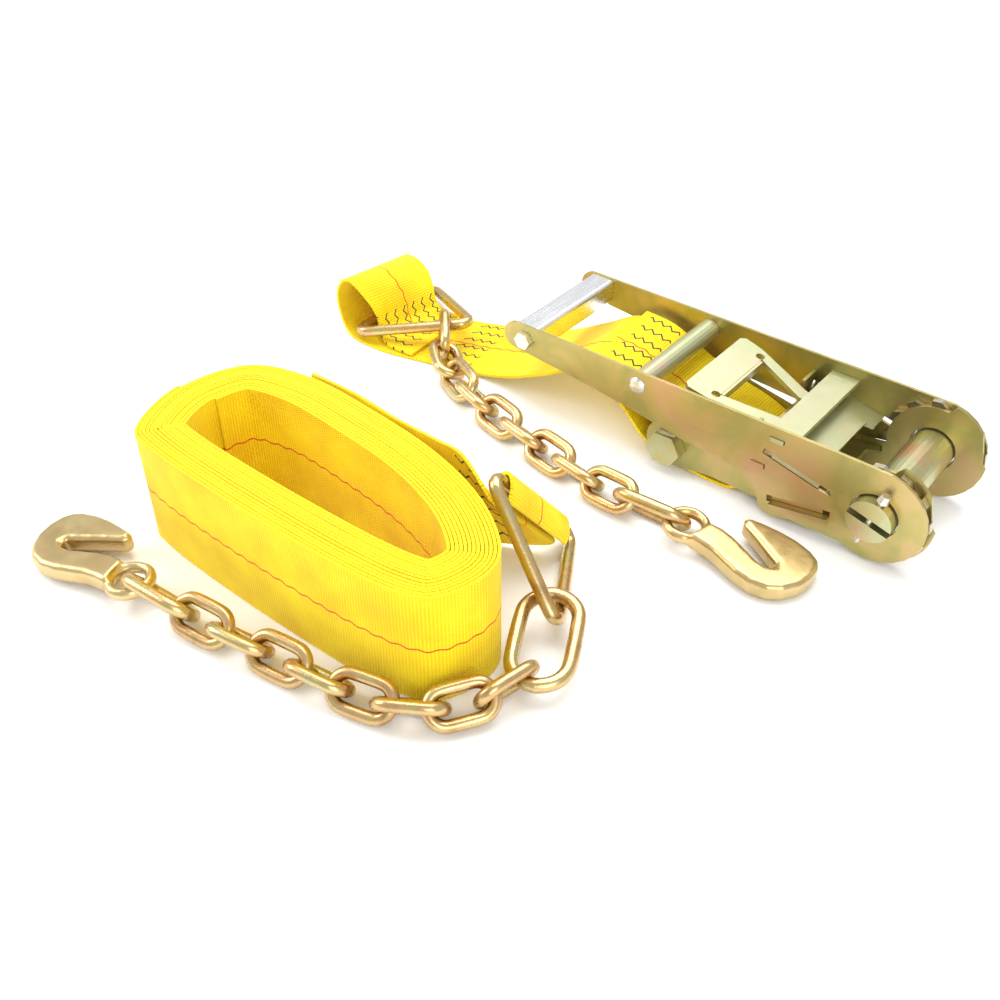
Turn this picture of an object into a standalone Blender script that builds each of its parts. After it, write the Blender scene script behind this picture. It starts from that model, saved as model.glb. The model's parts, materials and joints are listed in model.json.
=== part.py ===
"""Four inch ratchet tie-down strap set with chain anchors and eye grab hooks.

Two unconnected halves lie side by side on the ground: the ratchet half (folded ratchet, short strap,
ring, chain and hook) and the long strap half (wound strap, ring, master link, chain and hook).
Bench frame: the ratchet's mandrel axis is along Y at x = 0, the ratchet's middle plane is y = 0, the
grip end points to -X and the ground is z = 0. ORIGIN moves that frame to the middle of the whole set.
"""

import math

import bmesh
import bpy
from mathutils import Matrix, Vector

# Driving dimensions, in metres
MM = 0.001
ORIGIN = Vector((278.5, 210.5, 0.0)) * MM
GAP = 0.3 * MM

WEB_WIDTH = 101.6 * MM
WEB_THICK = 3.0 * MM

FRAME_HALF = 51.6 * MM
FRAME_THICK = 2.6 * MM
WHEEL_THICK = 5.4 * MM
HANDLE_THICK = 3.0 * MM
WHEEL_Y = FRAME_HALF + FRAME_THICK + GAP
HANDLE_Y = WHEEL_Y + WHEEL_THICK + GAP
HANDLE_OUT = HANDLE_Y + HANDLE_THICK

MANDREL_Z = 47.0 * MM
MANDREL_RADIUS = 19.0 * MM
MANDREL_REACH = HANDLE_OUT + 10.0 * MM
MANDREL_SLOT = 6.0 * MM
MANDREL_TILT = math.radians(-15.0)
HUB_HOLE = 20.6 * MM
DISC_RADIUS = 46.5 * MM
DISC_SMALL = 40.0 * MM
HANDLE_END = 43.5 * MM
WHEEL_TIP = 44.3 * MM
WHEEL_ROOT = 38.5 * MM
WHEEL_TEETH = 12

BOLT_X = -193.0 * MM
BOLT_Z = 24.6 * MM
BOLT_RADIUS = 10.0 * MM
BOLT_FLATS = 30.0 * MM
BOLT_HEAD = 12.0 * MM

GRIP_X = -349.0 * MM
GRIP_Z = 77.0 * MM
SPACER_X = -226.0 * MM
SPACER_Z = 77.0 * MM

PAWL_X = -96.5 * MM
PAWL_Z = 64.0 * MM
PAWL_SLOPE = math.radians(-13.5)
PAWL_THICK = 4.4 * MM
CATCH_SLOPE = math.radians(10.0)

WIRE = 10.3 * MM
LINK_INNER = 38.4 * MM
LINK_INNER_WIDTH = 15.6 * MM
CONNECTOR_WIRE = 11.2 * MM
CONNECTOR_INNER = 52.0 * MM
CONNECTOR_INNER_WIDTH = 18.8 * MM
MASTER_WIRE = 11.8 * MM
MASTER_INNER = 71.0 * MM
MASTER_INNER_WIDTH = 32.0 * MM
RING_WIRE = 11.0 * MM
RING_SIDE = 94.0 * MM
RING_CORNER = 10.0 * MM
HOOK_THICK = 17.0 * MM
EYE_THICK = 11.0 * MM
EYE_OUTER = 20.5 * MM
EYE_HOLE = 12.0 * MM
EYE_PULL = 2.2 * MM
HOOK_EYE_HEIGHT = 17.3 * MM
HOOK_REACH = 105.0 * MM
LINK_GAP = 1.85 * MM
GROUND = 0.3 * MM

COIL_X = -316.0 * MM
COIL_Y = -334.0 * MM
COIL_PACK = 41.0 * MM
COIL_FOOT = 0.3 * MM


# Materials

def finish(name, colour, roughness, metallic):
    """A Principled material in one plain finish."""
    material = bpy.data.materials.new(name)
    material.use_nodes = True
    shader = material.node_tree.nodes["Principled BSDF"]
    shader.inputs["Base Color"].default_value = (*colour, 1.0)
    shader.inputs["Roughness"].default_value = roughness
    shader.inputs["Metallic"].default_value = metallic
    return material


# Mesh helpers

def add_object(name, mesh, material, pivot, sharp=35.0):
    """Put a mesh made in bench coordinates on an object whose origin is its pivot."""
    mesh.transform(Matrix.Translation(-pivot))
    obj = bpy.data.objects.new(name, mesh)
    obj.location = pivot + ORIGIN
    bpy.context.scene.collection.objects.link(obj)
    mesh.materials.append(material)
    mesh.shade_smooth()
    mesh.set_sharp_from_angle(angle=math.radians(sharp))
    return obj


def mesh_from(name, bm):
    """Close a bmesh into a mesh with its faces pointing out."""
    bmesh.ops.remove_doubles(bm, verts=bm.verts, dist=1e-7)
    bmesh.ops.recalc_face_normals(bm, faces=bm.faces)
    mesh = bpy.data.meshes.new(name)
    bm.to_mesh(mesh)
    bm.free()
    return mesh


def prism(name, outline, low, high, frame=None):
    """Extrude an outline of (x, z) pairs from y = low to y = high, or along a frame's Y axis."""
    bm = bmesh.new()
    bottom = [bm.verts.new((x, low, z)) for x, z in outline]
    top = [bm.verts.new((x, high, z)) for x, z in outline]
    bm.faces.new(bottom)
    bm.faces.new(list(reversed(top)))
    count = len(outline)
    for i in range(count):
        j = (i + 1) % count
        bm.faces.new((bottom[i], top[i], top[j], bottom[j]))
    if frame is not None:
        bmesh.ops.transform(bm, matrix=frame, verts=bm.verts)
    return mesh_from(name, bm)


def arc(x, z, radius, start, stop, steps):
    """Points on a round stretch, with the angles in degrees."""
    angles = [math.radians(start + (stop - start) * i / steps) for i in range(steps + 1)]
    return [(x + radius * math.cos(a), z + radius * math.sin(a)) for a in angles]


def box(x0, x1, z0, z1):
    return [(x0, z0), (x1, z0), (x1, z1), (x0, z1)]


def cut(obj, cutter_mesh):
    """Take a cutter's shape out of an object."""
    cutter = bpy.data.objects.new(obj.name + "_cutter", cutter_mesh)
    cutter.location = ORIGIN
    cutter.hide_render = True
    cutter.display_type = "WIRE"
    bpy.context.scene.collection.objects.link(cutter)
    modifier = obj.modifiers.new("cut", "BOOLEAN")
    modifier.operation = "DIFFERENCE"
    modifier.solver = "EXACT"
    modifier.object = cutter


def tube_loop(name, path, radius, sides):
    """A closed round wire along a flat closed path of (point, outward normal) pairs in the XY plane."""
    bm = bmesh.new()
    rings = []
    for point, outward in path:
        ring = []
        for k in range(sides):
            angle = 2.0 * math.pi * (k + 0.5) / sides
            offset = outward * (radius * math.cos(angle)) + Vector((0, 0, radius * math.sin(angle)))
            ring.append(bm.verts.new(point + offset))
        rings.append(ring)
    for i in range(len(rings)):
        a, b = rings[i], rings[(i + 1) % len(rings)]
        for k in range(sides):
            j = (k + 1) % sides
            bm.faces.new((a[k], b[k], b[j], a[j]))
    return mesh_from(name, bm)


def rounded_path(half_x, half_y, corner, steps):
    """The centre line of a wire bent to a rounded rectangle, as (point, outward normal) pairs."""
    path = []
    for quarter, (sx, sy) in enumerate(((1, 1), (-1, 1), (-1, -1), (1, -1))):
        centre = Vector((sx * (half_x - corner), sy * (half_y - corner), 0.0))
        for i in range(steps + 1):
            angle = math.radians(90.0 * quarter + 90.0 * i / steps)
            outward = Vector((math.cos(angle), math.sin(angle), 0.0))
            path.append((centre + outward * corner, outward))
    return path


def wire_link(name, inner_length, inner_width, wire, steps=5, sides=8, corner=None):
    """A welded link: long axis X, wire centre line in the XY plane, centred on the origin."""
    half_x = (inner_length + wire) / 2.0
    half_y = (inner_width + wire) / 2.0
    path = rounded_path(half_x, half_y, half_y * 0.999 if corner is None else corner, steps)
    return tube_loop(name, path, wire / 2.0, sides)


def band(name, stations, thickness):
    """Webbing between two edge lines: each station is (near edge, far edge, face normal)."""
    bm = bmesh.new()
    rings = []
    for near, far, normal in stations:
        lift = normal.normalized() * (thickness / 2.0)
        rings.append([bm.verts.new(p) for p in (near - lift, far - lift, far + lift, near + lift)])
    for a, b in zip(rings, rings[1:]):
        for k in range(4):
            j = (k + 1) % 4
            bm.faces.new((a[k], a[j], b[j], b[k]))
    bm.faces.new(list(reversed(rings[0])))
    bm.faces.new(rings[-1])
    return mesh_from(name, bm)


def smooth_line(points, steps):
    """Points along a Catmull-Rom curve through the given points."""
    line = []
    for i in range(len(points) - 1):
        before = points[max(i - 1, 0)]
        after = points[min(i + 2, len(points) - 1)]
        a, b = points[i], points[i + 1]
        for s in range(steps):
            t = s / steps
            slope_a = (b - before) * 0.5
            slope_b = (after - a) * 0.5
            h00 = 2 * t**3 - 3 * t**2 + 1
            h10 = t**3 - 2 * t**2 + t
            h01 = -2 * t**3 + 3 * t**2
            h11 = t**3 - t**2
            line.append(a * h00 + slope_a * h10 + b * h01 + slope_b * h11)
    line.append(points[-1].copy())
    return line


# Ratchet frame

def frame_outline():
    """Side plate: round end at the strap bolt, low neck, cam disc with its step and lock notch."""
    z = MANDREL_Z
    outline = arc(BOLT_X, BOLT_Z, 24.0 * MM, 250.0, 60.0, 12)
    outline += [(-120.0 * MM, 34.0 * MM), (-48.0 * MM, 34.5 * MM)]
    outline += arc(0.0, z, DISC_SMALL, 196.0, 82.0, 9)
    outline += arc(0.0, z, DISC_RADIUS + 1.5 * MM, 76.0, 40.0, 4)
    outline += arc(0.0, z, 43.0 * MM, 12.0, 5.0, 1)
    outline += arc(0.0, z, DISC_RADIUS, -1.0, -112.0, 9)
    outline += [(-60.0 * MM, 8.0 * MM), (-150.0 * MM, 9.0 * MM)]
    return outline


def side_name(base, side):
    return base + ("_near" if side < 0 else "_far")


def side_span(side, inner, thick):
    """The y range of a plate of the given thickness on one side of the ratchet."""
    return (inner, inner + thick) if side > 0 else (-inner - thick, -inner)


def catch_point(along, above=0.0):
    """A point on the frame pawl's sloping plane, measured back from its tip."""
    tip = Vector((-41.5 * MM, 0.0, 25.8 * MM))
    direction = Vector((math.cos(CATCH_SLOPE), 0.0, math.sin(CATCH_SLOPE)))
    normal = Vector((-math.sin(CATCH_SLOPE), 0.0, math.cos(CATCH_SLOPE)))
    point = tip - direction * along + normal * above
    return point.x, point.z


def pawl_point(along, above=0.0):
    """A point on the handle pawl's sloping plane, measured from PAWL_X towards the wheel."""
    direction = Vector((math.cos(PAWL_SLOPE), 0.0, math.sin(PAWL_SLOPE)))
    normal = Vector((-math.sin(PAWL_SLOPE), 0.0, math.cos(PAWL_SLOPE)))
    point = Vector((PAWL_X, 0.0, PAWL_Z)) + direction * along + normal * above
    return point.x, point.z


def slope_box(point, start, stop, low, high):
    """A rectangle in the plane of a sloping pawl, as an outline."""
    return [point(start, low), point(stop, low), point(stop, high), point(start, high)]


def make_frame(zinc, bolt_steel):
    for side in (-1, 1):
        low, high = side_span(side, FRAME_HALF, FRAME_THICK)
        name = side_name("frame_side", side)
        plate = add_object(name, prism(name, frame_outline(), low, high), zinc, Vector((0, 0, 0)))
        hub = arc(0.0, MANDREL_Z, HUB_HOLE, 0.0, 345.0, 23)
        cut(plate, prism("hub", hub, low - 1.0 * MM, high + 1.0 * MM))
        bolt_hole = arc(BOLT_X, BOLT_Z, BOLT_RADIUS + GAP, 0.0, 337.5, 15)
        cut(plate, prism("bolt_hole", bolt_hole, low - 1.0 * MM, high + 1.0 * MM))
        slot = slope_box(catch_point, 58.0 * MM, -1.5 * MM, -0.5 * MM, 6.0 * MM)
        cut(plate, prism("pawl_slot", slot, low - 1.0 * MM, high + 1.0 * MM))

    cross = box(-119.0 * MM, -103.0 * MM, 12.5 * MM, 16.0 * MM)
    inner = FRAME_HALF - GAP
    add_object("frame_cross_plate", prism("cross", cross, -inner, inner), zinc, Vector((0, 0, 0)))

    head = hexagon(BOLT_X, BOLT_Z, BOLT_FLATS)
    outside = FRAME_HALF + FRAME_THICK + GAP
    bolt = prism("bolt_head", head, -outside - BOLT_HEAD, -outside)
    shank = arc(BOLT_X, BOLT_Z, BOLT_RADIUS, 0.0, 337.5, 15)
    shank_mesh = prism("bolt_shank", shank, -outside - 0.5 * MM, outside + 20.0 * MM)
    join_solid("frame_bolt", bolt, shank_mesh, bolt_steel, Vector((BOLT_X, 0, BOLT_Z)))
    nut = add_object("frame_nut", prism("nut", head, outside, outside + 15.0 * MM), bolt_steel,
                     Vector((BOLT_X, 0, BOLT_Z)))
    bore = arc(BOLT_X, BOLT_Z, BOLT_RADIUS + GAP, 0.0, 337.5, 15)
    cut(nut, prism("nut_bore", bore, outside - 1.0 * MM, outside + 16.0 * MM))


def hexagon(x, z, flats):
    """A hexagon with two level flats, from its width across flats."""
    corner = flats / math.sqrt(3.0)
    return arc(x, z, corner, 0.0, 300.0, 5)


def join_solid(name, mesh_a, mesh_b, material, pivot):
    """One solid from two overlapping meshes."""
    obj = add_object(name, mesh_a, material, pivot)
    other = bpy.data.objects.new(name + "_cutter", mesh_b)
    other.location = ORIGIN
    other.hide_render = True
    other.display_type = "WIRE"
    bpy.context.scene.collection.objects.link(other)
    modifier = obj.modifiers.new("join", "BOOLEAN")
    modifier.operation = "UNION"
    modifier.solver = "EXACT"
    modifier.object = other
    return obj


def make_frame_pawl(zinc, spring_steel):
    """Flat catch plate: it spans the frame and its ends reach out past both wheels."""
    inner = FRAME_HALF - 1.0 * MM
    reach = HANDLE_Y - GAP
    pivot = Vector((*catch_point(0.0), 0.0)).xzy
    body = prism("catch_body", slope_box(catch_point, 50.0 * MM, 10.0 * MM, 0.5 * MM, 5.0 * MM), -inner, inner)
    wings = prism("catch_wings", slope_box(catch_point, 46.0 * MM, 0.0, 0.5 * MM, 5.0 * MM), -reach, reach)
    catch = join_solid("frame_pawl", body, wings, zinc, pivot)
    window = slope_box(catch_point, 9.0 * MM, -2.0 * MM, -1.0 * MM, 7.0 * MM)
    cut(catch, prism("catch_window", window, -42.0 * MM, 42.0 * MM))

    start = Vector((*catch_point(50.6 * MM, 2.7 * MM), 0.0)).xzy
    stop = Vector((*catch_point(60.5 * MM, 2.7 * MM), 0.0)).xzy
    make_spring("frame_pawl_spring", start, stop, 3.4 * MM, 0.9 * MM, 4, spring_steel)


def make_spring(name, start, stop, radius, wire_radius, turns, material):
    """A compression spring as a helical wire with flat ends."""
    axis = (stop - start).normalized()
    side = axis.cross(Vector((0, 1, 0))).normalized()
    up = axis.cross(side)
    bm = bmesh.new()
    steps = 10
    rings = []
    length = (stop - start).length - 2.4 * wire_radius
    for i in range(turns * steps + 1):
        turn = 2.0 * math.pi * i / steps
        outward = side * math.cos(turn) + up * math.sin(turn)
        centre = start + axis * (1.2 * wire_radius + length * i / (turns * steps)) + outward * radius
        ring = []
        for k in range(6):
            angle = 2.0 * math.pi * k / 6
            ring.append(bm.verts.new(centre + (outward * math.cos(angle) + axis * math.sin(angle)) * wire_radius))
        rings.append(ring)
    for a, b in zip(rings, rings[1:]):
        for k in range(6):
            j = (k + 1) % 6
            bm.faces.new((a[k], a[j], b[j], b[k]))
    bm.faces.new(list(reversed(rings[0])))
    bm.faces.new(rings[-1])
    add_object(name, mesh_from(name, bm), material, start.copy())


# Ratchet handle

def handle_outline():
    """Side plate: round grip end, straight bar that widens, lower lobe and round hub end."""
    z = MANDREL_Z
    outline = arc(-360.0 * MM, 77.5 * MM, 13.5 * MM, 262.0, 90.0, 9)
    outline += [(-40.0 * MM, 90.8 * MM)]
    outline += arc(0.0, z, HANDLE_END, 82.0, -118.0, 13)
    points = ((-66.0, 8.5), (-84.0, 4.4), (-91.0, 4.6), (-97.0, 8.0), (-99.0, 16.0), (-103.0, 26.0),
              (-109.0, 33.0), (-118.0, 37.5), (-176.0, 41.5), (-234.0, 51.0), (-302.0, 59.0))
    outline += [(x * MM, z_mm * MM) for x, z_mm in points]
    return outline


def make_handle(zinc, aluminium, bright):
    pivot = Vector((0, 0, MANDREL_Z))
    for side in (-1, 1):
        low, high = side_span(side, HANDLE_Y, HANDLE_THICK)
        low_cut, high_cut = low - 5.0 * MM, high + 5.0 * MM
        name = side_name("handle_side", side)
        plate = prism(name, handle_outline(), low, high)
        lip_span = side_span(side, HANDLE_Y + 0.4 * MM, HANDLE_THICK + 3.6 * MM)
        lip = slope_box(catch_point, 46.0 * MM, -6.5 * MM, -5.0 * MM, 0.0)
        obj = join_solid(name, plate, prism("lip", lip, *lip_span), zinc, pivot)
        cut(obj, prism("hub", arc(0.0, MANDREL_Z, HUB_HOLE, 0.0, 345.0, 23), low_cut, high_cut))
        cut(obj, prism("pawl_slot", slope_box(pawl_point, -4.0 * MM, 61.0 * MM, -2.8 * MM, 2.8 * MM),
                       low_cut, high_cut))
        cut(obj, prism("catch_slot", slope_box(catch_point, 49.0 * MM, -8.0 * MM, 0.0, 6.2 * MM),
                       low_cut, high_cut))
        for x, z in ((-90.0, 79.3), (-103.5, 49.5)):
            tab = box((x - 6.6) * MM, (x + 6.6) * MM, (z - 2.3) * MM, (z + 2.3) * MM)
            cut(obj, prism("tab_slot", tab, low_cut, high_cut))
        for x, z, radius in ((GRIP_X, GRIP_Z, 5.3 * MM), (SPACER_X, SPACER_Z, 5.3 * MM)):
            cut(obj, prism("bolt_hole", arc(x, z, radius, 0.0, 330.0, 11), low_cut, high_cut))

    inner = HANDLE_Y - GAP
    x0, x1 = GRIP_X - 13.0 * MM, GRIP_X + 13.0 * MM
    z0, z1 = GRIP_Z - 11.5 * MM, GRIP_Z + 13.0 * MM
    r = 4.0 * MM
    section = arc(x1 - r, z1 - r, r, 0.0, 90.0, 3) + arc(x0 + r, z1 - r, r, 90.0, 180.0, 3)
    section += arc(x0 + r, z0 + r, r, 180.0, 270.0, 3) + arc(x1 - r, z0 + r, r, 270.0, 360.0, 3)
    grip = add_object("grip_tube", prism("grip", section, -inner, inner), aluminium, pivot)
    cut(grip, prism("grip_bore", arc(GRIP_X, GRIP_Z, 5.3 * MM, 0.0, 330.0, 11), -inner - MM, inner + MM))
    for side in (-1, 1):
        seat = side * (HANDLE_OUT + GAP)
        head_end = seat + side * 5.5 * MM
        name = side_name("grip_bolt", side)
        head = prism(name, hexagon(GRIP_X, GRIP_Z, 15.0 * MM), min(seat, head_end), max(seat, head_end))
        shank_low, shank_high = sorted((seat + side * 0.5 * MM, side * (inner - 25.0 * MM)))
        shank = prism("shank", arc(GRIP_X, GRIP_Z, 5.0 * MM, 0.0, 330.0, 11), shank_low, shank_high)
        join_solid(name, head, shank, bright, pivot)

    tube = add_object("spacer_tube", prism("spacer", arc(SPACER_X, SPACER_Z, 10.0 * MM, 0.0, 342.0, 19),
                                           -inner, inner), zinc, pivot)
    bore = arc(SPACER_X, SPACER_Z, 5.3 * MM, 0.0, 330.0, 11)
    cut(tube, prism("spacer_bore", bore, -inner - MM, inner + MM))
    make_rivet("spacer_rivet", bright, pivot)

    top = box(-102.0 * MM, -76.0 * MM, 77.3 * MM, 81.3 * MM)
    tabs = box(-96.0 * MM, -84.0 * MM, 77.3 * MM, 81.3 * MM)
    reach = HANDLE_OUT + 1.2 * MM
    join_solid("handle_cross_plate", prism("cross", top, -inner, inner), prism("tabs", tabs, -reach, reach),
               zinc, pivot)
    seat_plate = [(-119.0 * MM, 47.5 * MM), (-97.5 * MM, 47.5 * MM), (-97.5 * MM, 51.5 * MM),
                  (-116.0 * MM, 51.5 * MM), (-116.0 * MM, 76.0 * MM), (-119.0 * MM, 76.0 * MM)]
    seat_tabs = box(-109.5 * MM, -97.5 * MM, 47.5 * MM, 51.5 * MM)
    lower = join_solid("handle_spring_plate", prism("seat", seat_plate, -inner, inner),
                       prism("tabs", seat_tabs, -reach, reach), zinc, pivot)
    opening = box(-121.0 * MM, -114.0 * MM, 56.0 * MM, 80.0 * MM)
    cut(lower, prism("seat_opening", opening, -37.0 * MM, 37.0 * MM))


def make_rivet(name, material, pivot):
    """Through rivet of the spacer tube: a shank with a low round head outside each handle plate."""
    bm = bmesh.new()
    head = HANDLE_OUT + GAP
    profile = ((0.0, -head - 3.2 * MM), (5.5 * MM, -head - 2.6 * MM), (8.0 * MM, -head), (5.0 * MM, -head),
               (5.0 * MM, head), (8.0 * MM, head), (5.5 * MM, head + 2.6 * MM), (0.0, head + 3.2 * MM))
    verts = [bm.verts.new((SPACER_X + r, y, SPACER_Z)) for r, y in profile]
    edges = [bm.edges.new((a, b)) for a, b in zip(verts, verts[1:])]
    bmesh.ops.spin(bm, geom=verts + edges, cent=(SPACER_X, 0, SPACER_Z), axis=(0, 1, 0),
                   angle=2.0 * math.pi, steps=16, use_merge=True)
    add_object(name, mesh_from(name, bm), material, pivot)


def make_handle_pawl(zinc, spring_steel):
    """One flat sheet: finger bar, two narrowing legs, wide plate with its tooth tabs at both ends."""
    half = PAWL_THICK / 2.0
    direction = Vector((math.cos(PAWL_SLOPE), 0.0, math.sin(PAWL_SLOPE)))
    normal = Vector((-math.sin(PAWL_SLOPE), 0.0, math.cos(PAWL_SLOPE)))
    frame = Matrix.Translation(Vector((PAWL_X, 0.0, PAWL_Z))) @ Matrix((
        (direction.x, normal.x, 0.0, 0.0),
        (0.0, 0.0, 1.0, 0.0),
        (direction.z, normal.z, 0.0, 0.0),
        (0.0, 0.0, 0.0, 1.0)))
    reach = HANDLE_OUT - 0.6 * MM
    tip = 49.0 * MM
    right = ((-94.0, 0.0), (-94.0, 46.0), (-90.0, 50.0), (-72.0, 49.0), (-16.0, 32.0), (-2.0, 32.0), (-2.0, 40.0),
             (14.0, 40.0), (14.0, 54.0), (4.5, 54.0))
    outline = [(x * MM, y * MM) for x, y in right]
    outline += [(4.5 * MM, reach), (tip, reach), (tip, 42.0 * MM), (41.0 * MM, 39.0 * MM), (41.0 * MM, 0.0)]
    mirrored = [(x, -y) for x, y in reversed(outline[1:-1])]
    sheet = prism("sheet", outline + mirrored, -half, half, frame)
    lip = [(-65.5 * MM, -34.0 * MM), (-62.5 * MM, -34.0 * MM), (-62.5 * MM, 34.0 * MM), (-65.5 * MM, 34.0 * MM)]
    pivot = Vector((PAWL_X, 0.0, PAWL_Z))
    pawl = add_object("handle_pawl", sheet, zinc, pivot)
    window = [(-65.0 * MM, -36.0 * MM), (-16.0 * MM, -19.0 * MM), (-6.0 * MM, -19.0 * MM), (-6.0 * MM, 19.0 * MM),
              (-16.0 * MM, 19.0 * MM), (-65.0 * MM, 36.0 * MM)]
    cut(pawl, prism("finger_window", window, -4.0 * MM, 4.0 * MM, frame))
    for y in (-38.5 * MM, 38.5 * MM):
        cut(pawl, prism("corner_hole", arc(-68.0 * MM, y, 4.2 * MM, 0.0, 330.0, 11), -4.0 * MM, 4.0 * MM, frame))
    union(pawl, prism("lip", lip, -9.0 * MM, half - 0.5 * MM, frame))

    for side in (-1, 1):
        y = side * 47.0 * MM
        start = Vector((PAWL_X, y, PAWL_Z)) + direction * (-17.8 * MM)
        stop = Vector((PAWL_X, y, PAWL_Z)) + direction * (13.6 * MM)
        make_spring(side_name("handle_pawl_spring", side), start, stop, 4.6 * MM, 1.2 * MM, 6, spring_steel)


def union(obj, mesh):
    """Add an overlapping shape to an object."""
    other = bpy.data.objects.new(obj.name + "_cutter", mesh)
    other.location = ORIGIN
    other.hide_render = True
    other.display_type = "WIRE"
    bpy.context.scene.collection.objects.link(other)
    modifier = obj.modifiers.new("add", "BOOLEAN")
    modifier.operation = "UNION"
    modifier.solver = "EXACT"
    modifier.object = other


# Mandrel

def mandrel_frame():
    """The mandrel's own frame: X along the strap slot, Z across the two halves."""
    turn = Matrix.Rotation(-MANDREL_TILT, 4, "Y")
    return Matrix.Translation(Vector((0, 0, MANDREL_Z))) @ turn


def make_mandrel(zinc, wheel_steel, bright):
    frame = mandrel_frame()
    pivot = Vector((0, 0, MANDREL_Z))
    lift = MANDREL_SLOT / 2.0
    start = math.degrees(math.asin(lift / MANDREL_RADIUS))
    for name, sign in (("mandrel_half_upper", 1), ("mandrel_half_lower", -1)):
        outline = [(x, sign * z) for x, z in arc(0.0, 0.0, MANDREL_RADIUS, start, 180.0 - start, 14)]
        half = add_object(name, prism(name, outline, -MANDREL_REACH, MANDREL_REACH, frame), zinc, pivot)
        for side in (-1, 1):
            y = side * (HANDLE_OUT + 5.6 * MM)
            hole = round_bar(y, 3.1 * MM, -25.0 * MM, 25.0 * MM, frame)
            cut(half, hole)

    for side in (-1, 1):
        low, high = side_span(side, WHEEL_Y, WHEEL_THICK)
        outline = []
        pitch = 360.0 / WHEEL_TEETH
        for i in range(WHEEL_TEETH):
            base = i * pitch
            outline += arc(0.0, 0.0, WHEEL_ROOT, base, base + 0.30 * pitch, 1)
            outline += arc(0.0, 0.0, WHEEL_TIP, base + 0.62 * pitch, base + 0.98 * pitch, 1)
        name = side_name("ratchet_wheel", side)
        wheel = add_object(name, prism(name, outline, low, high, frame), wheel_steel, pivot)
        bore = arc(0.0, 0.0, MANDREL_RADIUS + 0.6 * MM, 0.0, 345.0, 23)
        cut(wheel, prism("bore", bore, low - MM, high + MM, frame))
        y = side * (HANDLE_OUT + 5.6 * MM)
        make_split_pin(side_name("split_pin", side), y, frame, bright, pivot)


def round_bar(y, radius, low, high, frame):
    """A round bar across the mandrel at the given y."""
    bm = bmesh.new()
    matrix = frame @ Matrix.Translation(Vector((0, y, (low + high) / 2.0)))
    bmesh.ops.create_cone(bm, cap_ends=True, segments=12, radius1=radius, radius2=radius, depth=high - low,
                          matrix=matrix)
    return mesh_from("bar", bm)


def make_split_pin(name, y, frame, material, pivot):
    """Split pin: round shank with a flattened eye above and blunt legs below."""
    shank = round_bar(y, 2.8 * MM, -25.5 * MM, 24.0 * MM, frame)
    pin = add_object(name, shank, material, pivot)
    bm = bmesh.new()
    matrix = frame @ Matrix.Translation(Vector((0, y, 25.5 * MM)))
    bmesh.ops.create_cone(bm, cap_ends=True, segments=12, radius1=5.0 * MM, radius2=3.6 * MM, depth=7.0 * MM,
                          matrix=matrix)
    union(pin, mesh_from("eye", bm))


# Straps

def with_normals(edges, flip=False):
    """Give each pair of edges its face normal, from the run of the strap."""
    stations = []
    for i, (near, far) in enumerate(edges):
        a = edges[max(i - 1, 0)]
        b = edges[min(i + 1, len(edges) - 1)]
        along = (b[0] + b[1]) - (a[0] + a[1])
        normal = along.cross(far - near)
        stations.append((near, far, -normal if flip else normal))
    return stations


def resampled(edges, steps):
    """Both edge lines of a strap, smoothed through their stations."""
    near = smooth_line([e[0] for e in edges], steps)
    far = smooth_line([e[1] for e in edges], steps)
    return list(zip(near, far))


def closed_curve(points, steps):
    """A smooth closed line through points in plan."""
    loop = [points[-1]] + list(points) + [points[0], points[1]]
    line = smooth_line([Vector((x * MM, y * MM, 0.0)) for x, y in loop], steps)
    return line[steps:-(steps + 1)]


SHORT_STRAP_ROUTE = (
    # near edge x, y, z; far edge x, y, z, in millimetres of the bench frame, from the ring's end
    ((-492, -66, 6.0), (-497, 26, 6.0)),
    ((-522, -68, 6.0), (-518, 22, 6.3)),
    ((-541, -60, 9.5), (-533, 22, 10.5)),
    ((-547, -56, 21.0), (-539, 23, 19.0)),
    ((-551, -59, 36.0), (-547, 28, 31.0)),
    ((-560, -65, 53.0), (-557, 32, 40.0)),
    ((-572, -68, 63.0), (-572, 34, 47.0)),
    ((-583, -69, 60.0), (-590, 35, 46.0)),
    ((-590, -70, 45.0), (-600, 34, 34.0)),
    ((-588, -71, 27.0), (-601, 32, 18.0)),
    ((-578, -73, 9.0), (-588, 29, 6.0)),
    ((-560, -75, 2.5), (-566, 25, 2.1)),
    ((-522, -74, 2.1), (-525, 22, 2.1)),
    ((-474, -62, 2.2), (-480, 33, 2.2)),
    ((-425, -50, 3.0), (-440, 50, 3.0)),
    ((-380, -48, 15.0), (-383, 52, 20.0)),
    ((-335, -50.8, 38.0), (-334, 50.8, 47.0)),
    ((-298, -50.8, 58.0), (-298, 50.8, 68.0)),
    ((-270, -50.8, 57.0), (-270, 50.8, 66.0)),
    ((-246, -50.8, 39.0), (-246, 50.8, 43.0)),
    ((-222, -50.8, 16.5), (-222, 50.8, 17.0)),
    ((-196, -50.8, 7.0), (-196, 50.8, 7.0)),
    ((-160, -50.8, 2.4), (-160, 50.8, 2.4)),
    ((-132, -50.8, 3.6), (-132, 50.8, 3.6)),
    ((-122, -50.8, 14.0), (-122, 50.8, 14.0)),
    ((-129, -50.8, 26.0), (-129, 50.8, 26.0)),
    ((-155, -50.8, 37.0), (-155, 50.8, 37.0)),
    ((-195, -50.8, 45.0), (-195, 50.8, 46.0)),
    ((-226, -50.8, 53.0), (-226, 50.8, 59.0)),
    ((-258, -50.8, 64.0), (-258, 50.8, 73.0)),
    ((-290, -50.8, 66.0), (-290, 50.8, 76.0)),
)


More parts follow.
